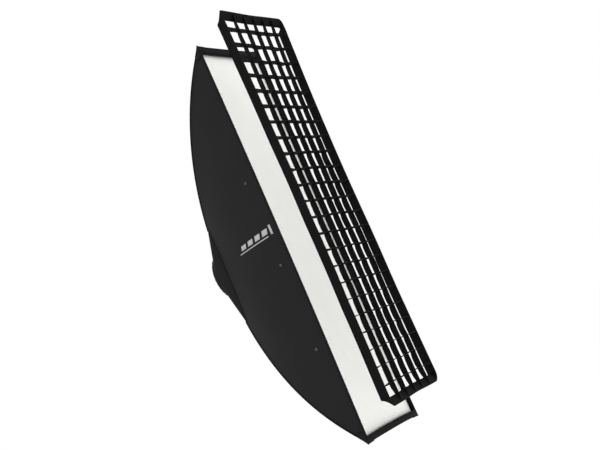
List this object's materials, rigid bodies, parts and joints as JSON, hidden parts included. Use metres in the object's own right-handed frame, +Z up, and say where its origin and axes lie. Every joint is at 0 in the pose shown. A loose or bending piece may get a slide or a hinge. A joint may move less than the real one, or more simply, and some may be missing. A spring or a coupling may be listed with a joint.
{
  "type": "studio softbox",
  "caption": "Long strip softbox: black cloth shell bowed over spring rods, recessed white diffuser, rotating bayonet speedring and a cloth egg-crate grid held off its rim.",
  "frame": {"origin": "centre of the light opening at the back face of the speedring", "axes": "+Z up along the long side, -Y out of the diffuser, +Y back through the bayonet, +X to the right seen from behind the diffuser's front"},
  "size_m": [0.3557, 0.4788, 1.23],
  "materials": {
    "shell_cloth": "matt black woven polyester",
    "silver_cloth": "silver coated cloth",
    "binding": "ribbed black binding tape",
    "hook_tape": "hook and loop tape",
    "diffuser_cloth": "white translucent nylon",
    "elastic": "knitted elastic",
    "stud_metal": "blackened press studs",
    "rod_steel": "bare spring steel",
    "black_plastic": "moulded black plastic",
    "ring_paint": "satin black powder coat",
    "insert_metal": "turned aluminium",
    "screw_steel": "zinc plated",
    "grid_cloth": "black woven grid cloth"
  },
  "bodies": {
    "box": {"side_panel_left": "shell_cloth", "side_panel_right": "shell_cloth", "end_panel_top": "shell_cloth", "end_panel_bottom": "shell_cloth", "silver_lining": "silver_cloth", "seam_bindings": "binding", "rear_collar": "shell_cloth", "front_hem": "binding", "rim_hook_tape": "hook_tape", "inner_hook_tape": "hook_tape", "corner_pockets": "binding", "front_diffuser": "diffuser_cloth", "diffuser_border": "binding", "inner_diffuser": "diffuser_cloth", "baffle_tabs": "elastic", "press_stud_caps": "stud_metal", "press_stud_sockets": "stud_metal", "rod_top_left": "rod_steel", "rod_top_right": "rod_steel", "rod_bottom_left": "rod_steel", "rod_bottom_right": "rod_steel", "rod_tips": "black_plastic", "speedring_plate": "ring_paint", "rod_sockets": "ring_paint", "socket_screws": "screw_steel"},
    "insert": {"insert_ring": "insert_metal", "retaining_ring": "insert_metal", "retaining_screws": "screw_steel"},
    "lock_screw": {"lock_screw": "black_plastic"},
    "grid": {"grid_hem": "grid_cloth", "grid_long_strips": "grid_cloth", "grid_cross_strips": "grid_cloth", "grid_loop_tape": "hook_tape"}
  },
  "joints": [
    {"name": "insert_turn", "type": "hinge", "parent": "box", "child": "insert", "pos_m": [0, 0, 0], "axis": [0, 1, 0], "continuous": true},
    {"name": "lock_screw_turn", "type": "hinge", "parent": "box", "child": "lock_screw", "pos_m": [0.09, -0.004, 0], "axis": [1, 0, 0], "range_deg": [-720, 0]},
    {"name": "grid_lift", "type": "slide", "parent": "box", "child": "grid", "axis": [0.416, 0.8383, -0.3525], "range_m": [0, 0.1418]}
  ]
}
